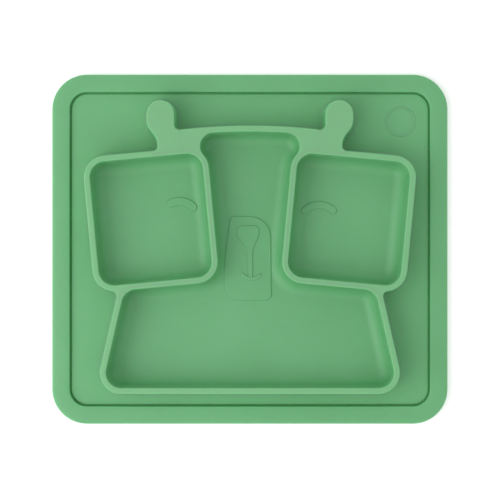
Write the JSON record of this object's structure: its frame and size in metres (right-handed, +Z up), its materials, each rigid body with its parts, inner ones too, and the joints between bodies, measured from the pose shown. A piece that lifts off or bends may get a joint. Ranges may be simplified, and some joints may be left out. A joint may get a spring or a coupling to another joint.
{
  "type": "divided suction plate",
  "caption": "Soft divided plate for a small child: a bordered mat with two square bowls, a T-shaped bowl, two round knobs, a sleepy face in low relief and suction cups underneath.",
  "frame": {"origin": "on the table under the middle of the mat", "axes": "+X to the user's right, +Y away from the user, +Z up out of the bowls"},
  "size_m": [0.27, 0.2384, 0.0275],
  "materials": {
    "silicone": "matt moulded silicone, sage green"
  },
  "bodies": {
    "plate": {"placemat": "silicone", "border_rim": "silicone", "left_bowl": "silicone", "right_bowl": "silicone", "main_bowl": "silicone", "left_horn": "silicone", "right_horn": "silicone", "left_eyelid": "silicone", "right_eyelid": "silicone", "muzzle_panel": "silicone", "nose": "silicone", "smile": "silicone", "blank_badge": "silicone", "suction_dome_front_left": "silicone", "suction_dome_front_right": "silicone", "suction_dome_back_left": "silicone", "suction_dome_back_right": "silicone"},
    "suction_front_left": {"suction_lip_front_left": "silicone"},
    "suction_front_right": {"suction_lip_front_right": "silicone"},
    "suction_back_left": {"suction_lip_back_left": "silicone"},
    "suction_back_right": {"suction_lip_back_right": "silicone"}
  },
  "joints": [
    {"name": "press_front_left", "type": "slide", "parent": "plate", "child": "suction_front_left", "axis": [0, 0, 1], "range_m": [0, 0.0014], "stiffness_N_per_m": 1500, "springref_m": -0.002, "deforming": ["suction_dome_front_left"]},
    {"name": "press_front_right", "type": "slide", "parent": "plate", "child": "suction_front_right", "axis": [0, 0, 1], "range_m": [0, 0.0014], "stiffness_N_per_m": 1500, "springref_m": -0.002, "deforming": ["suction_dome_front_right"]},
    {"name": "press_back_left", "type": "slide", "parent": "plate", "child": "suction_back_left", "axis": [0, 0, 1], "range_m": [0, 0.0014], "stiffness_N_per_m": 1500, "springref_m": -0.002, "deforming": ["suction_dome_back_left"]},
    {"name": "press_back_right", "type": "slide", "parent": "plate", "child": "suction_back_right", "axis": [0, 0, 1], "range_m": [0, 0.0014], "stiffness_N_per_m": 1500, "springref_m": -0.002, "deforming": ["suction_dome_back_right"]}
  ]
}
